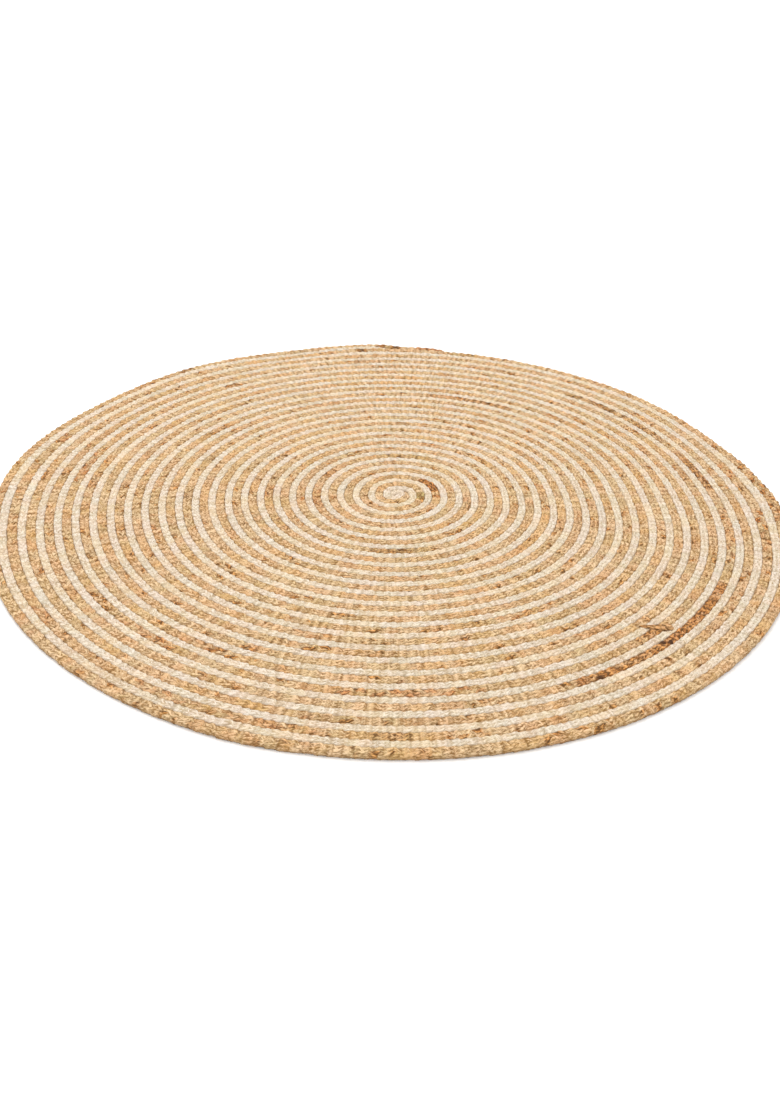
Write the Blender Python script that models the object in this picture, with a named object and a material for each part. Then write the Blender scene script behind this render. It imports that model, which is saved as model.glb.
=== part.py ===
"""Round rug of two flat jute braids, natural and bleached, coiled together from the middle outwards.

The rug lies flat on the XY plane with its underside at z = 0, and +Z is up. The coil's centre is the origin.
Turns are counted outwards: one turn runs clockwise seen from above, and angles are counter-clockwise from +X.
"""

from math import cos, exp, radians, sin

import bmesh
import bpy
from mathutils import Vector

THICKNESS = 0.009
EDGE_HEIGHT = 0.0052  # where two rows meet, so that a groove shows between them
GAP = 0.0003

# A pair is one white and one natural row side by side. Each pair is a little wider than the one inside it,
# because the rows are sewn more loosely further out.
FIRST_PAIR = 0.02975
PAIR_GROWTH = 0.0000925
WHITE_SHARE = 0.47

PAIRS_AT_TURN_0 = 1.175  # how far out the white row already lies at turn 0
STEP = 1 / 36  # of a turn
RIM_STEP = STEP / 2  # on the outermost turn, whose edge shows against the floor
RIM_START = 782 * STEP

WHITE_START = -38 * STEP
NATURAL_START = -37 * STEP
CORE_END = -3 * STEP  # the folded start of the white braid fills the middle up to here
CORE_HUB = Vector((-0.004, 0.005, 0.0))
CORE_HOLE = 0.0004
CORE_HEIGHT = 0.0085

WHITE_END = 1637 * RIM_STEP
WHITE_TAPER = 2 * RIM_STEP
NATURAL_END = 1643 * RIM_STEP
NATURAL_TAPER = 3 * RIM_STEP
END_SHARE = 0.3  # how much of a braid's width is left at its outer end
HAIR = 1e-6  # of a turn, well under a step

# The rug is hand sewn, so its rows run in and out of round. Each row here is one such place.
BULGE_COLUMNS = ("direction_deg", "turn", "push_mm", "spread_deg", "spread_turns")
BULGES = (
    (38, 4, 5.0, 16, 4.0),
    (165, 1, -4.5, 32, 2.5),
    (150, 7, -3.0, 22, 4.0),
    (240, 3, 3.5, 18, 2.0),
    (2, 15, -9.0, 13, 5.0),
    (18, 22, -9.0, 13, 3.0),
    (62, 16, 3.0, 14, 3.5),
    (82, 22, 6.0, 12, 3.0),
    (130, 14, -3.0, 22, 4.0),
    (172, 20, 5.0, 14, 3.5),
    (218, 14, 4.5, 12, 4.0),
    (280, 14, -6.0, 16, 3.0),
    (324, 14, 7.5, 12, 3.5),
)

# Base colours are linear, as the shader reads them.
NATURAL_JUTE = (0.64, 0.42, 0.22, 1.0)
WHITE_JUTE = (0.79, 0.66, 0.49, 1.0)


def bulge(pairs, angle_deg):
    """How far the rows are pushed out of round here, in metres."""
    turn = pairs - PAIRS_AT_TURN_0
    total = 0.0
    for row in BULGES:
        place = dict(zip(BULGE_COLUMNS, row))
        off_deg = (angle_deg - place["direction_deg"] + 180) % 360 - 180
        off_turns = turn - place["turn"]
        fall = (off_deg / place["spread_deg"]) ** 2 + (off_turns / place["spread_turns"]) ** 2
        total += place["push_mm"] / 1000 * exp(-fall / 2)
    return total


def row_line(pairs, angle_deg):
    """The radius of the line that lies this many pairs out from the centre, in this direction."""
    return FIRST_PAIR * pairs + PAIR_GROWTH / 2 * pairs**2 + bulge(pairs, angle_deg)


def angle_of(turn):
    return -360.0 * turn % 360.0


def on_plan(radius, angle_deg):
    return Vector((radius * cos(radians(angle_deg)), radius * sin(radians(angle_deg)), 0.0))


def left_of_taper(turn, end, taper):
    """1 along a braid, falling to END_SHARE over the taper at its outer end."""
    done = min(max((turn - end + taper) / taper, 0.0), 1.0)
    return 1.0 - (1.0 - END_SHARE) * done


def white_width(turn):
    """The white row's width in pairs, 0 where its end has been passed."""
    if turn > WHITE_END + HAIR:
        return 0.0
    return WHITE_SHARE * left_of_taper(turn, WHITE_END, WHITE_TAPER)


def natural_width(turn):
    return (1 - WHITE_SHARE) * left_of_taper(turn, NATURAL_END, NATURAL_TAPER)


def white_inner_pairs(turn):
    return turn + PAIRS_AT_TURN_0 - WHITE_SHARE / 2


def side(pairs, turn, gap):
    """The point on the floor of a row's side, held off the true line by half a gap."""
    angle = angle_of(turn)
    return on_plan(row_line(pairs, angle) + gap / 2, angle)


def white_inner_side(turn):
    """Between two steps of the row inside it, the rim's white row lies along that row's straight side."""
    half_way = round(turn / RIM_STEP) % 2 == 1
    if half_way and turn - 1 < RIM_START:
        before, after = turn - RIM_STEP, turn + RIM_STEP
        return (side(white_inner_pairs(before), before, GAP) + side(white_inner_pairs(after), after, GAP)) / 2
    return side(white_inner_pairs(turn), turn, GAP)


def across(inner, outer, height, inner_edge, outer_edge):
    """One cross section: flat underneath, upright at the sides and crowned on top."""
    up = Vector((0.0, 0.0, 1.0))
    middle = (inner + outer) / 2
    return [inner, outer, outer + up * outer_edge, middle + up * height, inner + up * inner_edge]


def braid_section(inner, outer, width_left):
    slim = width_left**0.5
    return across(inner, outer, THICKNESS * slim, EDGE_HEIGHT * slim, EDGE_HEIGHT * slim)


def core_section(turn, outer):
    """A slice of the middle, from just beside the hub out to the white row's outer side."""
    inner = CORE_HUB + on_plan(CORE_HOLE, angle_of(turn))
    return across(inner, outer, THICKNESS, CORE_HEIGHT, EDGE_HEIGHT)


def turns_between(start, end):
    """Evenly stepped turns, with half steps round the rim."""
    coarse = [start + step * STEP for step in range(round((RIM_START - start) / STEP))]
    fine = [RIM_START + step * RIM_STEP for step in range(round((end - RIM_START) / RIM_STEP) + 1)]
    return coarse + fine


def white_sections():
    sections = []
    for turn in turns_between(WHITE_START, WHITE_END):
        width = white_width(turn)
        outer = side(white_inner_pairs(turn) + width, turn, -GAP)
        if turn < CORE_END + HAIR:
            sections.append(core_section(turn, outer))
        else:
            sections.append(braid_section(white_inner_side(turn), outer, width / WHITE_SHARE))
    return sections


def natural_sections():
    sections = []
    for turn in turns_between(NATURAL_START, NATURAL_END):
        inner_pairs = white_inner_pairs(turn) + white_width(turn)
        width = natural_width(turn)
        inner = side(inner_pairs, turn, GAP)
        outer = side(inner_pairs + width, turn, -GAP)
        sections.append(braid_section(inner, outer, width / (1 - WHITE_SHARE)))
    return sections


def jute(name, colour):
    material = bpy.data.materials.new(name)
    material.use_nodes = True
    shader = material.node_tree.nodes["Principled BSDF"]
    shader.inputs["Base Color"].default_value = colour
    shader.inputs["Roughness"].default_value = 0.9
    shader.inputs["Metallic"].default_value = 0.0
    return material


def coiled_braid(name, sections, material):
    """One closed body through the sections in turn, with a flat cap at each end."""
    body = bmesh.new()
    rings = [[body.verts.new(point) for point in section] for section in sections]
    for ring, following in zip(rings, rings[1:]):
        for corner in range(len(ring)):
            beside = (corner + 1) % len(ring)
            body.faces.new((ring[corner], ring[beside], following[beside], following[corner]))
    body.faces.new(rings[0][::-1])
    body.faces.new(rings[-1])
    bmesh.ops.recalc_face_normals(body, faces=body.faces)
    bmesh.ops.triangulate(body, faces=body.faces)
    mesh = bpy.data.meshes.new(name)
    body.to_mesh(mesh)
    body.free()
    mesh.materials.append(material)
    braid = bpy.data.objects.new(name, mesh)
    bpy.context.scene.collection.objects.link(braid)
    return braid


for old in list(bpy.data.objects):
    bpy.data.objects.remove(old)

coiled_braid("white_braid", white_sections(), jute("white_jute", WHITE_JUTE))
coiled_braid("natural_braid", natural_sections(), jute("natural_jute", NATURAL_JUTE))
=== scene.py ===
import math

import bpy
import numpy as np
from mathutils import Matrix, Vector


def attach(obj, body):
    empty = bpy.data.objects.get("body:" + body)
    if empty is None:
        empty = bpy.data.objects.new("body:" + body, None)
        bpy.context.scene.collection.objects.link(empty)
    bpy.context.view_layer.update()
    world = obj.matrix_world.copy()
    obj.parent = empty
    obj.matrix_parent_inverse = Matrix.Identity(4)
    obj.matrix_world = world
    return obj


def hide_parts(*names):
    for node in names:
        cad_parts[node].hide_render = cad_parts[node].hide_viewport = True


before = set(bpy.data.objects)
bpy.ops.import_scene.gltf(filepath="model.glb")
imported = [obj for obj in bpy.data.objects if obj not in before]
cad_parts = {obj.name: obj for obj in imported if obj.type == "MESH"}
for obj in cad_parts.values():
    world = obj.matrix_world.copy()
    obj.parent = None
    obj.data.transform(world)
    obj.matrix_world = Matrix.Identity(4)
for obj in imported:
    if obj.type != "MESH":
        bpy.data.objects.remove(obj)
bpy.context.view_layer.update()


# ---------------------------------------------------------------------------------------------------------
# The coil. The maker lays two long plaits side by side, turns them round a folded start and sews each row to
# the one inside it, clockwise and outwards. A pair is one white and one natural row, and turns are counted
# outwards from 0, where both rows first lie side by side. Sewn by hand, they run a little out of round.

FIRST_PAIR = 0.02975  # metres across a pair at the centre
PAIR_GROWTH = 0.0000925  # metres by which each further pair is wider
WHITE_SHARE = 0.47  # of a pair's width
PAIRS_AT_TURN_0 = 1.175  # from the centre to the middle of the white row

NATURAL_START = -1.15  # turns, as are the lead, the ends and the taper
NATURAL_LEAD = 0.20
START_SHARE = 0.4  # the natural plait starts this thin and reaches its full width over its lead
WHITE_END = 22.7475
NATURAL_END = 22.778
END_TAPER = 0.008
END_SHARE = 0.3  # both plaits narrow to this share of their width over the taper

BULGES = np.array(
    [
        (38, 4, 5.0, 16, 4.0),
        (165, 1, -4.5, 32, 2.5),
        (150, 7, -3.0, 22, 4.0),
        (240, 3, 3.5, 18, 2.0),
        (2, 15, -8.0, 13, 5.0),
        (18, 22, -9.0, 13, 3.0),
        (40, 15.5, -3.0, 10, 2.5),
        (62, 16, 3.0, 14, 3.5),
        (82, 23, 6.0, 12, 1.8),
        (130, 14, -3.0, 22, 4.0),
        (172, 20, 5.0, 14, 3.5),
        (218, 14, 4.5, 12, 4.0),
        (280, 14, -6.0, 16, 3.0),
        (322, 14, 6.0, 12, 3.5),
        (343, 14, 4.0, 9, 6.0),
        (1, 23.2, 13.0, 6, 0.9),
        (13, 23.2, 6.0, 4, 0.8),
        (48, 23.2, 2.5, 20, 0.8),
        (97, 23, 6.0, 5, 0.8),
        (111, 23, -5.0, 5, 0.8),
        (130, 23.2, 9.5, 9, 1.0),
        (168, 23.2, 9.5, 10, 1.0),
        (181, 23.2, 5.0, 8, 0.9),
        (207, 23.2, 3.0, 12, 0.9),
        (252, 23.2, 3.0, 5, 0.8),
        (338, 23.2, 3.0, 12, 0.9),
    ],
    dtype=[(name, float) for name in ("direction_deg", "turn", "push_mm", "spread_deg", "spread_turns")],
)


def row_radius(pairs, angle_deg):
    """The radius of the line this many pairs out from the centre, in each direction."""
    radius = FIRST_PAIR * pairs + PAIR_GROWTH / 2 * pairs**2
    for place in BULGES:
        off_deg = (angle_deg - place["direction_deg"] + 180) % 360 - 180
        off_turns = pairs - PAIRS_AT_TURN_0 - place["turn"]
        fall = (off_deg / place["spread_deg"]) ** 2 + (off_turns / place["spread_turns"]) ** 2
        radius = radius + place["push_mm"] / 1000 * np.exp(-fall / 2)
    return radius


def left_of_taper(turns, end):
    """1 along a plait, falling to END_SHARE over the taper at its outer end."""
    return 1 - (1 - END_SHARE) * np.clip((turns - end + END_TAPER) / END_TAPER, 0, 1)


def white_share(turns):
    return np.where(turns > WHITE_END, 0, left_of_taper(turns, WHITE_END))


def natural_start_share(turns):
    """The natural plait's start is folded thin, and lies against the white row outside it."""
    return START_SHARE + (1 - START_SHARE) * np.clip((turns - NATURAL_START) / NATURAL_LEAD, 0, 1)


def natural_share(turns):
    return left_of_taper(turns, NATURAL_END) * natural_start_share(turns)


def white_inner_pairs(turns):
    """How many pairs out from the centre the white row's inner side is."""
    return turns + PAIRS_AT_TURN_0 - WHITE_SHARE / 2


def on_floor(pairs, turns):
    angle_deg = -360 * turns
    radius = row_radius(pairs, angle_deg)
    x = radius * np.cos(np.radians(angle_deg))
    y = radius * np.sin(np.radians(angle_deg))
    return np.stack([x, y], axis=1)


def laid_line(turns, inner_pairs, share, nominal_share):
    """A row's middle line and its width there, found from its two sides."""
    inner = on_floor(inner_pairs, turns)
    outer = on_floor(inner_pairs + nominal_share * share, turns)
    width = np.linalg.norm(outer - inner, axis=1)
    return {"turn": turns, "point": (inner + outer) / 2, "width": width}


def along_of(line):
    """How far along the line each of its points is."""
    steps = np.linalg.norm(np.diff(line["point"], axis=0), axis=1)
    return np.concatenate([[0], np.cumsum(steps)])


# ---------------------------------------------------------------------------------------------------------
# The natural plait. Three loose strands of undyed jute, each a soft bundle of fibres, are plaited flat and
# then sewn into the coil. The strands' fibres run lengthwise, their colour changes from bundle to bundle, and
# the floor presses the plait flat. Its last stretch lies against its own previous row and is tucked in.

LINE_POINTS_PER_TURN = 180
STRANDS = 3
SIDES = 6  # of a strand's ring
LINGER = 0.26  # makes a strand stay longer at the plait's sides; at 0 it would swing evenly
RISE = 0.8  # of the room above and below the middle, used where strands cross
FULL_TOP = 1.14  # the strands are pressed flat, so their top and underside are broad
PRESSED_IN = 1.15  # the rows are sewn tight, so each plait bulges into its neighbours' hollows
PULL = 0.03  # some stretches are plaited tighter and some looser, by this much over each spacing
PULL_SPACING = 0.8
SHORTEST_STEP = 0.55  # changes along a strand come at uneven distances, between these shares of their mean
LONGEST_STEP = 1.45
PLUMP = 0.08  # a strand is this much wider on top of a crossing, and as much narrower underneath
SWELL_UPWARDS = 0.35  # of what a strand swells sideways
LOWEST = 0.0001  # where the floor stops a strand
HIGHEST = 0.0004  # over the plait's own thickness
SIDE_KNEE = 0.38  # from this share of the plait's width outwards its sides are pressed straight

STRAND_SEEDS = 100  # how far apart the strands' seeds are
COLOUR_SEEDS = 1000  # how far the seeds of a strand's colour are from those of its shape

natural_turns = np.arange(NATURAL_START, NATURAL_END, 1 / LINE_POINTS_PER_TURN)
natural_turns = np.append(natural_turns, NATURAL_END)
natural_line = laid_line(
    natural_turns,
    white_inner_pairs(natural_turns)
    + WHITE_SHARE * white_share(natural_turns)
    + (1 - WHITE_SHARE) * (1 - natural_start_share(natural_turns)),
    natural_share(natural_turns),
    1 - WHITE_SHARE,
)

NATURAL_PLAIT = {
    "name": "natural",
    "repeat": 0.053,
    "rings": 12,
    "width": 0.0166,
    "thickness": 0.0092,
    "strand_width": 0.0094,
    "strand_thickness": 0.0074,
    "seed": 11,
}


def wander(along, amount, spacing, seed):
    """A smooth random value within this amount of 0. It changes along a strand in uneven steps of about
    this spacing."""
    source = np.random.default_rng(seed)
    count = int((along.max() - along.min()) / (SHORTEST_STEP * spacing)) + 2
    steps = spacing * source.uniform(SHORTEST_STEP, LONGEST_STEP, count)
    places = along.min() + np.append(0, np.cumsum(steps))
    values = source.uniform(-1, 1, count + 1)
    first = np.searchsorted(places, along, side="right") - 1
    part = (along - places[first]) / steps[first]
    part = part * part * (3 - 2 * part)
    return amount * (values[first] * (1 - part) + values[first + 1] * part)


def swing_of(plait, strand, along):
    """How far a strand is in its swing from side to side, as an angle."""
    return math.tau * (along / plait["repeat"] + strand / STRANDS)


def strand_middle(plait, strand, along):
    """Where a strand's middle lies in the straight plait, across it and up. It lingers at each side, then
    crosses over or under the other two."""
    swing = swing_of(plait, strand, along)
    sway = (plait["width"] - plait["strand_width"]) / 2
    rise = RISE * (plait["thickness"] - plait["strand_thickness"]) / 2
    across = sway * (np.sin(swing) + LINGER * np.sin(3 * swing)) / (1 - LINGER)
    return across, plait["thickness"] / 2 + rise * np.sin(2 * swing)


def strand_ring():
    """A ring across the X axis, one metre wide, to draw a strand out of."""
    turned = (0, math.pi / 2, 0)
    bpy.ops.object.select_all(action="DESELECT")
    bpy.ops.mesh.primitive_circle_add(vertices=SIDES, radius=0.5, location=(0, 0, 0), rotation=turned)
    bpy.ops.object.transform_apply(location=False, rotation=True, scale=False)
    return bpy.context.object


def one_repeat(plait, strand):
    """One repeat of a strand, straight along +X: a flat ring drawn out along its way through the plait."""
    along = plait["repeat"] / plait["rings"] * np.arange(plait["rings"] + 1)
    places = [Vector(place) for place in zip(along, *strand_middle(plait, strand, along))]
    piece = strand_ring()
    bpy.ops.object.mode_set(mode="EDIT")
    bpy.ops.mesh.select_all(action="SELECT")
    bpy.ops.transform.resize(value=(1, plait["strand_width"], plait["strand_thickness"]))
    bpy.ops.mesh.select_all(action="DESELECT")
    bpy.ops.object.mode_set(mode="OBJECT")
    near_middle = 0.1 * plait["strand_thickness"]  # the height within which the two side corners lie
    for vertex in piece.data.vertices:
        vertex.select = abs(vertex.co.z) > near_middle
    bpy.ops.object.mode_set(mode="EDIT")
    bpy.ops.transform.resize(value=(1, FULL_TOP, FULL_TOP))
    bpy.ops.mesh.select_all(action="SELECT")
    bpy.ops.transform.translate(value=places[0])
    for place, following in zip(places, places[1:]):
        bpy.ops.mesh.extrude_region_move(TRANSFORM_OT_translate={"value": following - place})
    bpy.ops.object.mode_set(mode="OBJECT")
    return piece


def add_modifier(piece, kind, settings):
    """Adds a modifier with these settings and applies it."""
    modifier = piece.modifiers.new(kind.lower(), kind)
    for name, value in settings.items():
        setattr(modifier, name, value)
    bpy.context.view_layer.objects.active = piece
    bpy.ops.object.modifier_apply(modifier=modifier.name)


def points_of(piece):
    flat = np.empty(len(piece.data.vertices) * 3, np.float32)
    piece.data.vertices.foreach_get("co", flat)
    return flat.reshape(-1, 3).astype(float)


def move_points(piece, points):
    piece.data.vertices.foreach_set("co", points.ravel().astype(np.float32))
    piece.data.update()


def guide_curve(plait, line):
    """The plait's middle line on the floor as a curve, whose radius makes the plait as wide as its row."""
    curve = bpy.data.curves.new(plait["name"] + "_guide", "CURVE")
    curve.dimensions = "3D"
    curve.twist_mode = "Z_UP"
    curve.use_radius = True
    spline = curve.splines.new("POLY")
    spline.points.add(len(line["point"]) - 1)
    for point, place, width in zip(spline.points, line["point"], line["width"]):
        point.co = (place[0], place[1], 0, 1)
        point.radius = width / plait["width"] * PRESSED_IN
    guide = bpy.data.objects.new(plait["name"] + "_guide", curve)
    bpy.context.scene.collection.objects.link(guide)
    return guide


def make_uneven(piece, plait, strand):
    """Hand-plaited strands swell, thin out and shift a little, and the floor presses them flat underneath."""
    points = points_of(piece)
    along = points[:, 0].copy()
    middle_y, middle_z = strand_middle(plait, strand, along)
    repeat = plait["repeat"]
    seed = plait["seed"] + STRAND_SEEDS * strand
    swell = 1 + wander(along, amount=0.16, spacing=0.6 * repeat, seed=seed)
    swell += wander(along, amount=0.07, spacing=0.2 * repeat, seed=seed + 1)
    plump = 1 + PLUMP * np.sin(2 * swing_of(plait, strand, along))
    points[:, 1] = middle_y + (points[:, 1] - middle_y) * swell * plump
    points[:, 2] = middle_z + (points[:, 2] - middle_z) * (1 + SWELL_UPWARDS * (swell - 1))
    points[:, 1] += wander(along, amount=0.0007, spacing=0.8 * repeat, seed=seed + 2)
    points[:, 2] += wander(along, amount=0.0003, spacing=0.5 * repeat, seed=seed + 3)
    points[:, 2] = np.clip(points[:, 2], LOWEST, plait["thickness"] + HIGHEST)
    knee = SIDE_KNEE * plait["width"]
    room = 0.5 * plait["width"] - knee
    past = np.clip(np.abs(points[:, 1]) - knee, 0, None)
    pressed = knee + room * (1 - np.exp(-past / room))
    points[:, 1] = np.where(past > 0, np.sign(points[:, 1]) * pressed, points[:, 1])
    move_points(piece, points)


def map_strand(piece):
    """A UV map for the fibres: metres along the strand, and once round it."""
    mesh = piece.data
    along = points_of(piece)[:, 0]
    corner_vertex = np.empty(len(mesh.loops), np.int64)
    mesh.loops.foreach_get("vertex_index", corner_vertex)
    side = corner_vertex % SIDES
    starts = np.empty(len(mesh.polygons), np.int64)
    totals = np.empty(len(mesh.polygons), np.int64)
    mesh.polygons.foreach_get("loop_start", starts)
    mesh.polygons.foreach_get("loop_total", totals)
    face_of_corner = np.repeat(np.arange(len(starts)), totals)
    has_last = np.zeros(len(starts), bool)
    has_last[face_of_corner[side == SIDES - 1]] = True
    wraps = has_last[face_of_corner] & (side == 0)
    around = np.where(wraps, SIDES, side) / SIDES
    layer = mesh.uv_layers.new(name="strand")
    layer.data.foreach_set("uv", np.stack([along[corner_vertex], around], axis=1).ravel().astype(np.float32))


def set_attribute(piece, name, values):
    attribute = piece.data.attributes.new(name, "FLOAT", "POINT")
    attribute.data.foreach_set("value", values.astype(np.float32))


def close_ends(piece):
    """Fills a strand's two open ends and turns its faces outwards."""
    bpy.ops.object.select_all(action="DESELECT")
    piece.select_set(True)
    bpy.context.view_layer.objects.active = piece
    bpy.ops.object.mode_set(mode="EDIT")
    bpy.ops.mesh.select_all(action="SELECT")
    bpy.ops.mesh.fill_holes(sides=SIDES)
    bpy.ops.mesh.select_all(action="SELECT")
    bpy.ops.mesh.normals_make_consistent(inside=False)
    bpy.ops.object.mode_set(mode="OBJECT")


# A strand's colour is told by its tone, from dark to pale, its tint, from grey-green to red, its warmth, from
# grey to honey, and how brown it is. 0 is the plain colour in each, and each is kept within these limits.
COLOUR_LIMITS = {"tone": (-1, 1), "tint": (-1.6, 1.6), "warmth": (-1.6, 1.3), "brown": (0, 1.5)}


def plaited_strand(plait, strand, line, guide, colour_along):
    """One strand of a plait, from the middle of the rug to its outer end."""
    length = along_of(line)[-1]
    repeats = round(length / plait["repeat"])
    piece = one_repeat(plait, strand)
    piece.name = plait["name"] + "_strand_" + str(strand + 1)
    piece.data.name = piece.name
    add_modifier(
        piece,
        "ARRAY",
        {
            "count": repeats,
            "use_relative_offset": False,
            "use_constant_offset": True,
            "constant_offset_displace": (plait["repeat"], 0, 0),
            "use_merge_vertices": True,
            "merge_threshold": 0.00001,
        },
    )
    make_uneven(piece, plait, strand)
    map_strand(piece)
    points = points_of(piece)
    along = points[:, 0] * length / (repeats * plait["repeat"])
    away_from_ends = np.clip(np.minimum(along, length - along) / PULL_SPACING, 0, 1)
    pull = wander(along, amount=1, spacing=PULL_SPACING, seed=plait["seed"] + 5)
    along = along + PULL * away_from_ends * pull
    turns = np.interp(along, along_of(line), line["turn"])
    for name, values in colour_along(along, turns, strand).items():
        set_attribute(piece, name, np.clip(values, *COLOUR_LIMITS[name]))
    # The height sets the painted shade in the finish: darker low in the plait, lighter on top.
    set_attribute(piece, "height", points[:, 2] / plait["thickness"])
    points[:, 0] = along
    move_points(piece, points)
    close_ends(piece)
    add_modifier(piece, "CURVE", {"object": guide, "deform_axis": "POS_X"})
    bpy.ops.object.shade_smooth()
    return piece


# How far the natural plait's colour drifts along it, and over which distance, in metres or in repeats of the
# plait. A shared drift runs through its three strands together, as they come from one bale.
NATURAL_DRIFTS = np.array(
    [
        ("tone", 0.35, 0.45, 0.0, False, 0),
        ("tone", 0.42, 0.0, 0.9, False, 1),
        ("tone", 0.25, 0.0, 0.3, False, 2),
        ("tint", 0.36, 0.019, 0.0, True, 4),
        ("tint", 0.20, 0.0, 0.6, False, 3),
        ("warmth", 0.20, 0.08, 0.0, True, 7),
        ("warmth", 0.44, 0.023, 0.0, True, 8),
        ("warmth", 0.20, 0.0, 0.6, False, 7),
    ],
    dtype=[
        ("value", "U6"),
        ("amount", float),
        ("metres", float),
        ("repeats", float),
        ("shared", bool),
        ("seed", int),
    ],
)
STRAND_SHIFT = 0.005  # the shared drifts come this much sooner from one strand to the next

# Where a darker or browner bundle comes up in the natural plait, and the dark tuft and painted shadow by the
# white plait's outer end. Rows are counted as turns are, from the row's own crossing of +X, and strand says
# which of the three is the dark one, or 3 for all of them.
DARK_STRETCHES = np.array(
    [
        (0, 0, 10, 0.15, -1.6, 3),
        (0, 66, 82, 0.35, -0.3, 3),
        (0, 150, 163, 0.25, 0.3, 0),
        (1, 8, 52, 1.00, 0.6, 3),
        (1, 80, 116, 0.40, -0.2, 1),
        (1, 338, 360, 0.15, -2.2, 3),
        (2, 282, 332, 0.55, 0.0, 2),
        (2, 352, 360, 0.65, 0.5, 3),
        (3, 50, 60, 0.40, -0.2, 0),
        (4, 62, 106, 0.40, -0.6, 3),
        (4, 142, 156, 0.60, 0.4, 3),
        (4, 170, 210, 0.55, 0.5, 1),
        (4, 216, 248, 0.50, 0.4, 2),
        (4, 340, 358, 0.50, 0.3, 0),
        (5, 186, 196, 0.50, 0.4, 0),
        (6, 258, 292, 0.60, -0.3, 3),
        (9, 251, 257, 0.60, 0.3, 1),
        (12, 343, 348, 0.60, 0.4, 2),
        (14, 57, 82, 0.55, 0.1, 3),
        (14, 140, 151, 0.45, 0.0, 2),
        (14, 176, 188, 0.50, 0.1, 1),
        (14, 196, 202, 0.55, 0.5, 0),
        (14, 292, 309, 0.45, 0.4, 0),
        (15, 170, 174, 0.50, 0.7, 0),
        (15, 250, 259, 0.40, 0.3, 1),
        (18, 8, 16, 0.50, 0.1, 0),
        (18, 174, 181, 0.60, 0.2, 3),
        (18, 235, 244, 0.60, 0.5, 1),
        (19, 4, 20, 0.65, 0.2, 3),
        (19, 25, 53, 0.60, -0.2, 3),
        (19, 163, 179, 0.60, 0.5, 1),
        (19, 224, 237, 0.65, 0.5, 1),
        (19, 262, 284, 0.85, 0.7, 0),
        (19, 310, 316, 0.80, 0.2, 3),
        (20, 163, 167, 0.60, 0.6, 0),
        (20, 296, 334, 0.95, 0.4, 3),
        (20, 340, 360, 0.60, 0.3, 2),
        (21, 8, 14, 0.60, 0.9, 0),
        (21, 324, 330, 0.65, 0.5, 1),
        (22, 0, 15, 0.85, 0.5, 1),
        (22, 74, 80, 0.50, -0.6, 3),
        (22, 96, 98.5, 1.25, -0.3, 3),
        (22, 162, 166, 0.70, 0.9, 2),
        (22, 214, 220, 0.45, 0.5, 0),
        (22, 236, 262, 0.50, 0.3, 2),
        (22, 267, 273, 0.60, -0.2, 3),
        (22, 345, 358, 0.80, 0.5, 2),
        (23, 81, 87, 0.75, 0.9, 3),
        # These two lie by the white plait's outer end: a dark tucked-in tuft, and painted shadow where the
        # natural plait dips into the notch beside it.
        (23, 89.3, 91.8, 1.35, 0.0, 3),
        (23, 92.3, 94.3, 1.10, 0.2, 3),
        (23, 354, 360, 0.85, 0.5, 1),
    ],
    dtype=[(name, float) for name in ("row", "from_deg", "to_deg", "depth", "redness", "strand")],
)
ALL_STRANDS = 3
OTHER_STRANDS = 0.1  # the strands beside the dark one take this share of its colour
STRETCH_EDGE = 0.002  # turns over which a stretch begins and ends
FLICKER_MEAN = 0.65  # a stretch has paler and darker places, and this is their mean
SOLID_DEPTH = 1  # a stretch this deep or deeper has no paler places
STRAY_FROM = 0.70  # here and there along the plait fibres are browner, where their wander passes this
STRAY_DEPTH = 3.5
START_TURNS = 0.3  # the plait starts paler than it goes on, and is like the rest after these turns
START_PALENESS = 1.2  # added to the tone at the very start
START_COLOUR = 0.1  # the share of tint and warmth that is there at the start


def drifting_colour(plait, drifts, along, strand):
    """How a strand's tone, tint and warmth drift along it."""
    own_seed = plait["seed"] + COLOUR_SEEDS + STRAND_SEEDS * strand
    colour = {"tone": 0, "tint": 0, "warmth": 0}
    for drift in drifts:
        place = along + STRAND_SHIFT * strand if drift["shared"] else along
        spacing = drift["metres"] + drift["repeats"] * plait["repeat"]
        seed = (plait["seed"] if drift["shared"] else own_seed) + int(drift["seed"])
        colour[drift["value"]] = colour[drift["value"]] + wander(place, drift["amount"], spacing, seed)
    return colour


def turns_of(stretch):
    """The turns between which a stretch lies. The rows run clockwise, so its larger angle comes first."""
    return stretch["row"] - stretch["to_deg"] / 360, stretch["row"] - stretch["from_deg"] / 360


def natural_colour(along, turns, strand):
    """The drift along a natural strand, with its paler start and its browner bundles."""
    seed = NATURAL_PLAIT["seed"] + COLOUR_SEEDS + STRAND_SEEDS * strand
    repeat = NATURAL_PLAIT["repeat"]
    colour = drifting_colour(NATURAL_PLAIT, NATURAL_DRIFTS, along, strand)
    past_start = (turns - NATURAL_START) / START_TURNS
    colour["tone"] += START_PALENESS * np.clip(1 - past_start, 0, 1)
    colour["tint"] *= np.clip(past_start, START_COLOUR, 1)
    colour["warmth"] *= np.clip(past_start, START_COLOUR, 1)
    colour["brown"] = np.zeros(len(along))
    flicker = FLICKER_MEAN + wander(along, amount=0.55, spacing=0.35 * repeat, seed=seed + 5)
    for stretch in DARK_STRETCHES:
        first, last = turns_of(stretch)
        inside = np.clip((turns - first) / STRETCH_EDGE, 0, 1)
        inside *= np.clip((last - turns) / STRETCH_EDGE, 0, 1)
        chosen = 1.0 if stretch["strand"] in (ALL_STRANDS, strand) else OTHER_STRANDS
        cover = flicker if stretch["depth"] < SOLID_DEPTH else 1
        colour["brown"] += stretch["depth"] * chosen * inside * cover
        colour["tint"] += stretch["redness"] * chosen * inside
    stray = wander(along, amount=1, spacing=0.4 * repeat, seed=seed + 6)
    colour["brown"] += STRAY_DEPTH * np.clip(stray - STRAY_FROM, 0, None)
    return colour


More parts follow.
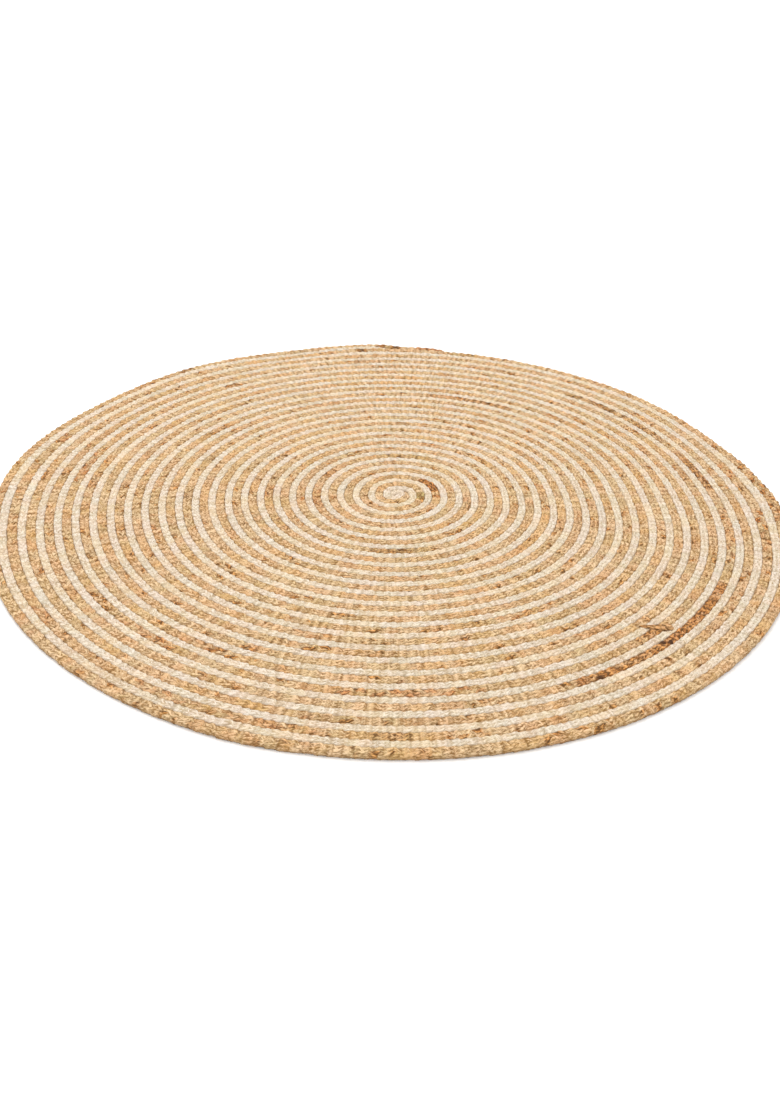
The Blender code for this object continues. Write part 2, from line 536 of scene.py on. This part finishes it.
class Shade:
    """One value in a material: Python's operators on it add the Math nodes."""

    def __init__(self, socket):
        self.socket = socket

    def worked(self, operation, first, second):
        tree = self.socket.id_data
        node = tree.nodes.new("ShaderNodeMath")
        node.operation = operation
        for place, value in enumerate((first, second)):
            if isinstance(value, Shade):
                tree.links.new(value.socket, node.inputs[place])
            else:
                node.inputs[place].default_value = value
        return Shade(node.outputs[0])

    def __add__(self, other):
        return self.worked("ADD", self, other)

    def __radd__(self, other):
        return self.worked("ADD", other, self)

    def __sub__(self, other):
        return self.worked("SUBTRACT", self, other)

    def __rsub__(self, other):
        return self.worked("SUBTRACT", other, self)

    def __mul__(self, other):
        return self.worked("MULTIPLY", self, other)

    def __rmul__(self, other):
        return self.worked("MULTIPLY", other, self)


class Finish:
    """A material that starts as a matt surface. Its add method puts in every node that isn't plain maths."""

    def __init__(self, name, roughness, shine):
        self.material = bpy.data.materials.new(name)
        self.material.use_nodes = True
        self.tree = self.material.node_tree
        self.surface = self.tree.nodes["Principled BSDF"]
        self.surface.inputs["Roughness"].default_value = roughness
        self.surface.inputs["Specular IOR Level"].default_value = shine

    def feed(self, socket, value):
        if isinstance(value, Shade):
            self.tree.links.new(value.socket, socket)
        else:
            socket.default_value = value

    def add(self, kind, settings, sockets, output=0):
        node = self.tree.nodes.new(kind)
        for name, value in settings.items():
            setattr(node, name, value)
        for place, value in sockets.items():
            self.feed(node.inputs[place], value)
        return Shade(node.outputs[output])

    def attribute(self, name):
        return self.add("ShaderNodeAttribute", {"attribute_name": name}, {}, "Fac")

    def blended(self, factor, first, second):
        """first where factor is 0 and second where it is 1."""
        return self.add("ShaderNodeMix", {"data_type": "RGBA"}, {0: factor, 6: first, 7: second}, 2)

    def scaled(self, colour, factor):
        return self.add("ShaderNodeVectorMath", {"operation": "SCALE"}, {0: colour, 3: factor})

    def ranged(self, value, low, high, at_low, at_high):
        """at_low where value is low or less, at_high where it is high or more, and in between evenly."""
        limits = {"From Min": low, "From Max": high, "To Min": at_low, "To Max": at_high}
        return self.add("ShaderNodeMapRange", {}, {"Value": value, **limits})

    def stretched(self, vector, fineness):
        return self.add("ShaderNodeMapping", {}, {"Vector": vector, "Scale": fineness})

    def noise(self, vector, fineness, detail):
        """Noise about NOISE_MEAN, this fine along each of the vector's axes."""
        fine = self.stretched(vector, fineness)
        sockets = {"Vector": fine, "Scale": 1.0, "Detail": detail, "Roughness": 0.6}
        return self.add("ShaderNodeTexNoise", {}, sockets)


NOISE_MEAN = 0.5


def jute_finish(name, colours, darkest_fleck, palest_fleck, underneath):
    """Dry plant fibre: streaks along the strand, small flecks, and painted shade deep in the plait."""
    finish = Finish(name, roughness=0.88, shine=0.25)
    strand_map = finish.add("ShaderNodeUVMap", {"uv_map": "strand"}, {})
    streaks = finish.noise(strand_map, fineness=(70, 9, 1), detail=3.0)
    hairs = finish.noise(strand_map, fineness=(290, 30, 1), detail=2.0)
    flecks = finish.noise(strand_map, fineness=(135, 8, 1), detail=2.0)
    pit_map = finish.stretched(strand_map, fineness=(170, 6, 1))
    pit_distance = finish.add("ShaderNodeTexVoronoi", {}, {"Vector": pit_map, "Scale": 1.0}, "Distance")
    pit_shade = finish.ranged(pit_distance, low=0.12, high=0.34, at_low=1.0, at_high=0.0)
    tone = finish.attribute("tone")
    tint = finish.attribute("tint")
    warmth = finish.attribute("warmth")

    # The fibres' own colour, from pale 0 to deep 1, and then warmer or greyer, redder or greener.
    depth = 0.47 - 0.36 * tone
    depth += 1.6 * (streaks - NOISE_MEAN)
    depth += 3.6 * (hairs - NOISE_MEAN)
    depth += 2.4 * (NOISE_MEAN - flecks)
    colour = finish.blended(depth, colours["pale"], colours["deep"])
    for side, value, strength in (
        ("warm", warmth, 0.75),
        ("grey", warmth, -0.5),
        ("red", tint, 0.6),
        ("green", tint, -0.5),
    ):
        colour = finish.blended(strength * value, colour, colours[side])

    # The browner bundles: umber to rust, orange at the pale flecks and nearly black at the dark ones.
    if "rust" in colours:
        brown = finish.attribute("brown")
        rusty = 0.4 + 0.6 * tint
        orange_fibres = 6.0 * (flecks - 0.53)
        cover = 0.95 + 0.5 * streaks
        dark_fibres = 0.2 + 14.0 * (0.49 - flecks)
        # Past a brown of 1 it goes nearly black all over: dark fibres, and by the white plait's outer end the
        # dark tuft and painted shadow.
        darkest = 2.0 * (brown - 1.0)
        browned = finish.blended(rusty, colours["umber"], colours["rust"])
        browned = finish.blended(orange_fibres, browned, colours["orange"])
        colour = finish.blended(brown * cover, colour, browned)
        colour = finish.blended(brown * dark_fibres, colour, colours["dark"])
        colour = finish.blended(darkest, colour, colours["dark"])

    # Painted shade: the colour is darkened, and drawn towards the deep colour, low in the plait and in the
    # pits between the fibres, and is a little lighter on the strands' tops. The flecks are the fibres' own
    # tone.
    height = finish.attribute("height")
    shade = finish.ranged(height, low=0.4, high=0.95, at_low=underneath, at_high=1.09)
    speckled = finish.ranged(flecks, low=0.34, high=0.56, at_low=darkest_fleck, at_high=palest_fleck)
    painted_shade_and_flecks = shade * speckled * (1 - 0.36 * pit_shade)
    deepened = 0.9 * (1.0 - painted_shade_and_flecks)
    brightness = 0.45 + 0.55 * painted_shade_and_flecks
    colour = finish.blended(deepened, colour, colours["deep"])
    finish.feed(finish.surface.inputs["Base Color"], finish.scaled(colour, brightness))

    relief = 0.6 * streaks + 0.4 * hairs
    bump_sockets = {"Strength": 0.45, "Distance": 0.0012, "Height": relief}
    bump = finish.add("ShaderNodeBump", {}, bump_sockets, "Normal")
    finish.feed(finish.surface.inputs["Normal"], bump)
    return finish.material


natural_jute = jute_finish(
    "natural_jute",
    {
        "pale": (0.725, 0.522, 0.318, 1),
        "deep": (0.33, 0.165, 0.045, 1),
        "warm": (0.60, 0.32, 0.10, 1),
        "grey": (0.52, 0.405, 0.25, 1),
        "red": (0.59, 0.265, 0.12, 1),
        "green": (0.45, 0.355, 0.135, 1),
        "umber": (0.33, 0.165, 0.045, 1),
        "rust": (0.40, 0.14, 0.036, 1),
        "orange": (0.74, 0.38, 0.13, 1),
        "dark": (0.06, 0.022, 0.008, 1),
    },
    darkest_fleck=0.44,
    palest_fleck=1.22,
    # underneath: the share of the colour left by the painted shade deepest in the plait
    underneath=0.66,
)
natural_guide = guide_curve(NATURAL_PLAIT, natural_line)
natural_strands = [
    plaited_strand(NATURAL_PLAIT, strand, natural_line, natural_guide, natural_colour)
    for strand in range(STRANDS)
]
bpy.data.objects.remove(natural_guide)
for strand in natural_strands:
    strand.data.materials.append(natural_jute)
    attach(strand, "root")
    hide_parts("natural_braid")


# ---------------------------------------------------------------------------------------------------------
# The white plait. Three strands of bleached jute, plaited tighter and a little narrower than the natural
# ones. Its start is folded into the rug's middle, and its outer end is tucked in beside the row inside it.

WHITE_PLAIT = {
    "name": "white",
    "repeat": 0.0435,
    "rings": 11,
    "width": 0.0147,
    "thickness": 0.0089,
    "strand_width": 0.0085,
    "strand_thickness": 0.0074,
    "seed": 47,
}

# The folded start: its thin end lies in the middle, and the rest is folded round it.
START_FOLD = np.array(
    [
        (3.5, 4.2, 0.42),
        (2.2, 0.2, 0.48),
        (-0.8, -3.2, 0.52),
        (-4.8, -2.2, 0.55),
        (-6.0, 3.0, 0.65),
        (-2.5, 9.2, 0.85),
        (4.0, 12.3, 1.0),
        (10.0, 11.6, 1.0),
        (13.5, 7.0, 0.9),
        (12.3, 1.5, 0.85),
        (9.6, -2.6, 0.9),
    ],
    dtype=[(name, float) for name in ("x_mm", "y_mm", "share")],
)
FOLD_STEPS = 5  # from one place of the fold to the next
START_FOLD_ENDS = -0.885  # the turn from which on the white row follows the coil


def rounded(route):
    """A smooth route from the first of these places to just before the last, in short steps."""
    longer = np.concatenate([2 * route[:1] - route[1:2], route, 2 * route[-1:] - route[-2:-1]])
    before = longer[:-3, None]
    first = longer[1:-2, None]
    second = longer[2:-1, None]
    after = longer[3:, None]
    part = (np.arange(FOLD_STEPS) / FOLD_STEPS)[None, :, None]
    straight = 2 * first + (second - before) * part
    bend = (2 * before - 5 * first + 4 * second - after) * part**2
    turn_in = (3 * first - before - 3 * second + after) * part**3
    return ((straight + bend + turn_in) / 2).reshape(-1, route.shape[1])


white_turns = np.arange(START_FOLD_ENDS, WHITE_END, 1 / LINE_POINTS_PER_TURN)
white_turns = np.append(white_turns, WHITE_END)
white_line = laid_line(white_turns, white_inner_pairs(white_turns), white_share(white_turns), WHITE_SHARE)
fold_widths = START_FOLD["share"] * WHITE_PLAIT["width"]
fold = np.stack([START_FOLD["x_mm"] / 1000, START_FOLD["y_mm"] / 1000, fold_widths], axis=1)
row_begins = np.append(white_line["point"][0], white_line["width"][0])
fold = rounded(np.concatenate([fold, [row_begins]]))
fold_turns = START_FOLD_ENDS - np.arange(len(fold), 0, -1) / LINE_POINTS_PER_TURN
white_line = {
    "turn": np.concatenate([fold_turns, white_line["turn"]]),
    "point": np.concatenate([fold[:, :2], white_line["point"]]),
    "width": np.concatenate([fold[:, 2], white_line["width"]]),
}

# How far the white plait's colour drifts, told as in the natural plait.
WHITE_DRIFTS = np.array(
    [
        ("tone", 0.30, 0.5, 0.0, False, 0),
        ("tone", 0.38, 0.0, 0.9, False, 1),
        ("tone", 0.25, 0.0, 0.3, False, 2),
        ("tint", 0.26, 0.019, 0.0, True, 4),
        ("tint", 0.15, 0.0, 0.6, False, 3),
        ("warmth", 0.20, 0.08, 0.0, True, 7),
        ("warmth", 0.36, 0.023, 0.0, True, 8),
        ("warmth", 0.20, 0.0, 0.6, False, 7),
    ],
    dtype=NATURAL_DRIFTS.dtype,
)

# Where the white row is a little darker, told as in the natural plait.
GREY_STRETCHES = np.array(
    [
        (0, 62, 72, 0.5),
        (0, 218, 236, 0.5),
        (4, 223, 230, 0.5),
        (13, 339, 350, 0.5),
        (18, 209, 222, 0.4),
        (23, 0, 6, 0.6),
        (23, 89, 94, 0.7),
        (23, 226, 238, 0.4),
    ],
    dtype=[(name, float) for name in ("row", "from_deg", "to_deg", "depth")],
)


def white_colour(along, turns, strand):
    """The drift along a white strand, with its darker stretches."""
    colour = drifting_colour(WHITE_PLAIT, WHITE_DRIFTS, along, strand)
    for stretch in GREY_STRETCHES:
        first, last = turns_of(stretch)
        colour["tone"] -= stretch["depth"] * ((turns > first) & (turns < last))
    return colour


white_jute = jute_finish(
    "white_jute",
    {
        "pale": (0.775, 0.675, 0.55, 1),
        "deep": (0.50, 0.36, 0.21, 1),
        "warm": (0.79, 0.60, 0.36, 1),
        "grey": (0.65, 0.64, 0.61, 1),
        "red": (0.77, 0.55, 0.47, 1),
        "green": (0.60, 0.60, 0.41, 1),
    },
    darkest_fleck=0.72,
    palest_fleck=1.05,
    # underneath: the share of the colour left by the painted shade deepest in the plait
    underneath=0.81,
)
white_guide = guide_curve(WHITE_PLAIT, white_line)
white_strands = [
    plaited_strand(WHITE_PLAIT, strand, white_line, white_guide, white_colour) for strand in range(STRANDS)
]
bpy.data.objects.remove(white_guide)
for strand in white_strands:
    strand.data.materials.append(white_jute)
    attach(strand, "root")
    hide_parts("white_braid")


# ---------------------------------------------------------------------------------------------------------
# The loose end. Near the front right a natural strand ran out and the next was laid in, and its end was left
# flat on the white row beside it. It is the same brown jute, pressed flat and spread, and sewn down there.

LOOSE_END = np.array(
    [
        (461.0, -419.0, 8.2, 17.0, 2.4),
        (452.5, -421.5, 10.4, 20.0, 2.6),
        (443.0, -423.5, 10.9, 18.0, 2.6),
        (433.0, -424.0, 10.9, 15.0, 2.4),
        (422.5, -423.5, 10.6, 11.5, 2.2),
        (410.0, -421.5, 10.1, 7.5, 1.8),
        (404.0, -421.0, 9.7, 3.5, 0.9),
    ],
    dtype=[(name, float) for name in ("x_mm", "y_mm", "z_mm", "width_mm", "thickness_mm")],
)

# Its colour at its first and at its last place, told as the plaits' colour is, and its height, which gives it
# the painted shade of a strand's top.
LOOSE_END_COLOURS = np.array(
    [
        ("tone", 0.4, -0.4),
        ("tint", 0.1, 0.1),
        ("warmth", 0.3, 0.3),
        ("brown", 0.35, 0.65),
        ("height", 1.0, 1.0),
    ],
    dtype=[("name", "U6"), ("at_first", float), ("at_last", float)],
)

loose_end = strand_ring()
loose_end.name = "natural_loose_end"
loose_end.data.name = loose_end.name
bpy.ops.object.mode_set(mode="EDIT")
bpy.ops.mesh.select_all(action="SELECT")
before = Vector((0, 0, 0))
before_size = (1.0, 1.0)
for station in LOOSE_END:
    place = Vector((station["x_mm"], station["y_mm"], station["z_mm"])) / 1000
    size = (station["width_mm"] / 1000, station["thickness_mm"] / 1000)
    growth = (1, size[0] / before_size[0], size[1] / before_size[1])
    if station == LOOSE_END[0]:
        bpy.ops.transform.translate(value=place - before)
    else:
        bpy.ops.mesh.extrude_region_move(TRANSFORM_OT_translate={"value": place - before})
    bpy.ops.transform.resize(value=growth, center_override=place)
    before = place
    before_size = size
bpy.ops.object.mode_set(mode="OBJECT")
map_strand(loose_end)
first_x, last_x = LOOSE_END["x_mm"][[0, -1]]
to_first = (points_of(loose_end)[:, 0] * 1000 - last_x) / (first_x - last_x)
for colour in LOOSE_END_COLOURS:
    values = colour["at_last"] + (colour["at_first"] - colour["at_last"]) * to_first
    set_attribute(loose_end, colour["name"], values)
close_ends(loose_end)
bpy.ops.object.shade_smooth()
loose_end.data.materials.append(natural_jute)
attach(loose_end, "root")


# ---------------------------------------------------------------------------------------------------------
# The floor, the light and the camera. The rug lies on a plain pale floor under a wide soft light, and is seen
# from in front at about eye height when kneeling, close enough for its sides to run out of the picture.

FLOOR_SIZE = 80
FLOOR_MIDDLE = (0, 20, -0.0002)  # the floor reaches far back, and is a hair under the rug

bpy.ops.object.select_all(action="DESELECT")
bpy.ops.mesh.primitive_plane_add(size=FLOOR_SIZE, location=FLOOR_MIDDLE)
floor = bpy.context.object
floor.name = "floor"
bpy.ops.object.transform_apply(location=True, rotation=True, scale=True)
floor_finish = Finish("pale_floor", roughness=0.9, shine=0.0)
floor_finish.surface.inputs["Base Color"].default_value = (0.97, 0.97, 0.97, 1)
floor.data.materials.append(floor_finish.material)

scene = bpy.context.scene
scene.view_settings.view_transform = "Standard"
scene.world = bpy.data.worlds.new("studio")
scene.world.use_nodes = True
surround = scene.world.node_tree.nodes["Background"]
surround.inputs["Color"].default_value = (1.0, 1.0, 1.0, 1)
surround.inputs["Strength"].default_value = 1.17

soft_box = bpy.data.lights.new("soft_box", "AREA")
soft_box.shape = "DISK"
soft_box.size = 2.4
soft_box.energy = 32
lamp = bpy.data.objects.new("soft_box", soft_box)
lamp.location = (-0.9, 0.6, 3.2)
lamp.rotation_euler = (Vector((0, 0, 0)) - lamp.location).to_track_quat("-Z", "Y").to_euler()
scene.collection.objects.link(lamp)

CAMERA_DISTANCE = 2.23192
CAMERA_ELEVATION = math.radians(29.4132)
LENS = 37.162
LOOK = (math.radians(57.7802), math.radians(-1.1585), math.radians(0.9302))

camera = bpy.data.cameras.new("camera")
camera.lens = LENS
camera.sensor_width = 36
camera.sensor_fit = "AUTO"
camera.clip_end = 200
viewer = bpy.data.objects.new("camera", camera)
viewer.location = (
    0,
    -CAMERA_DISTANCE * math.cos(CAMERA_ELEVATION),
    CAMERA_DISTANCE * math.sin(CAMERA_ELEVATION),
)
viewer.rotation_euler = LOOK
scene.collection.objects.link(viewer)
scene.camera = viewer
